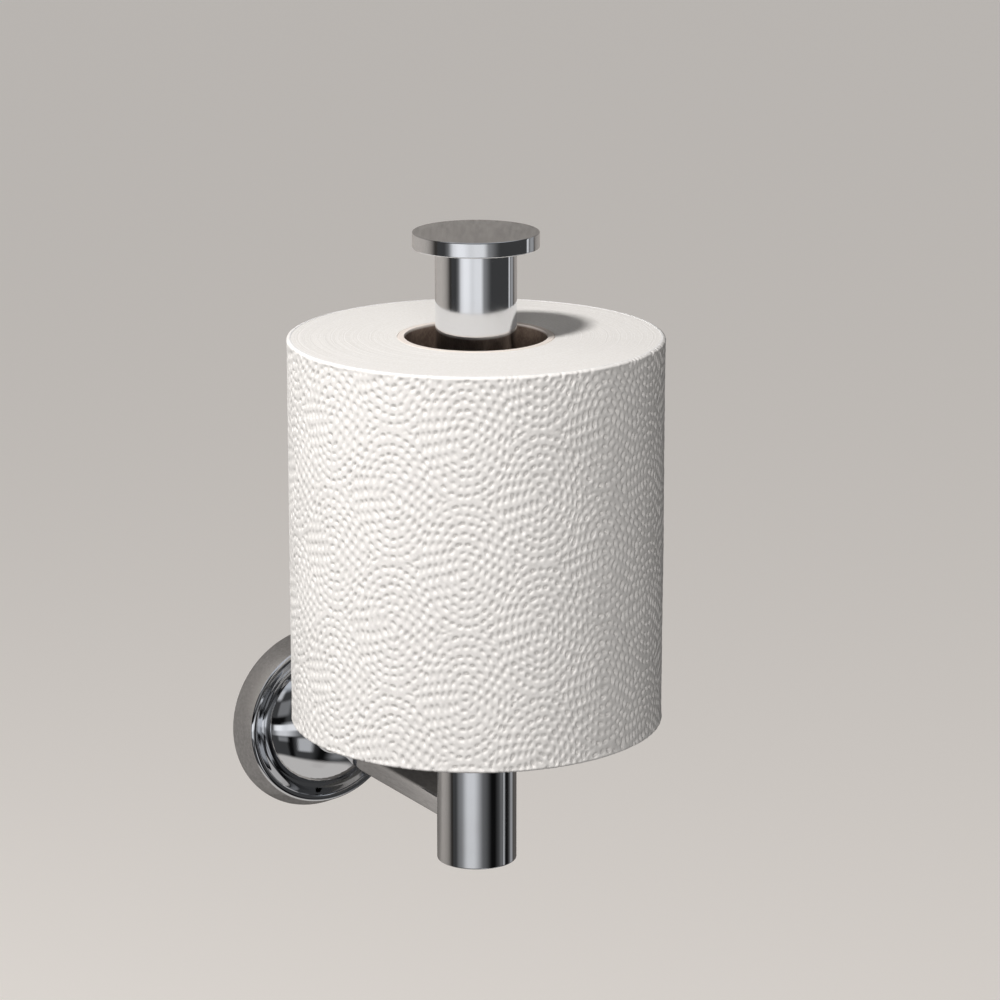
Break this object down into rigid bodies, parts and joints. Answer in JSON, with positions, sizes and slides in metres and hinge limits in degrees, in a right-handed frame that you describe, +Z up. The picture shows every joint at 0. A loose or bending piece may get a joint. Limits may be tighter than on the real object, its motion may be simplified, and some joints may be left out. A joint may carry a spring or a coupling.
{
  "type": "toilet paper holder",
  "caption": "Wall-mounted upright toilet paper holder: round rosette, flat arm, and a capped post with a turning rest that carries a paper roll.",
  "frame": {"origin": "centre of the wall plate's back face, which lies on the wall", "axes": "+Z up along the post, +Y into the wall, +X to the right for someone facing the wall"},
  "size_m": [0.1044, 0.1715, 0.1925],
  "materials": {
    "polished_chrome": "mirror-polished chrome plate",
    "zinc_casting": "tumbled die-cast zinc, unpolished",
    "screw_steel": "zinc-plated steel",
    "insert_brass": "machined, unplated",
    "plug_nylon": "moulded nylon, satin",
    "white_nylon": "moulded nylon, satin",
    "black_rubber": "moulded, matte",
    "core_cardboard": "spiral-wound board, matte",
    "tissue_paper": "soft embossed tissue, matte"
  },
  "bodies": {
    "holder": {"wall_plate": "zinc_casting", "wall_screw_1": "screw_steel", "wall_screw_2": "screw_steel", "wall_plug_1": "plug_nylon", "wall_plug_2": "plug_nylon", "rosette": "polished_chrome", "arm_boss": "polished_chrome", "boss_grub_screw": "screw_steel", "arm_screw": "screw_steel", "arm": "polished_chrome", "post_tube": "polished_chrome", "post_insert": "insert_brass", "clamp_screw": "screw_steel", "foot_plug": "polished_chrome", "tie_rod": "screw_steel", "cap": "polished_chrome", "cap_o_ring": "black_rubber", "rest_collar": "polished_chrome", "collar_grub_screw": "screw_steel", "slip_washer": "white_nylon"},
    "turning_rest": {"rest_disc": "polished_chrome", "rest_bush": "white_nylon"},
    "roll": {"roll_core": "core_cardboard", "paper_roll": "tissue_paper"}
  },
  "joints": [
    {"name": "rest_spin", "type": "hinge", "parent": "holder", "child": "turning_rest", "pos_m": [0, -0.0973, 0.0264], "axis": [0, 0, 1], "continuous": true},
    {"name": "roll_lift", "type": "slide", "parent": "turning_rest", "child": "roll", "axis": [0, 0, 1], "range_m": [0, 0.145]}
  ]
}
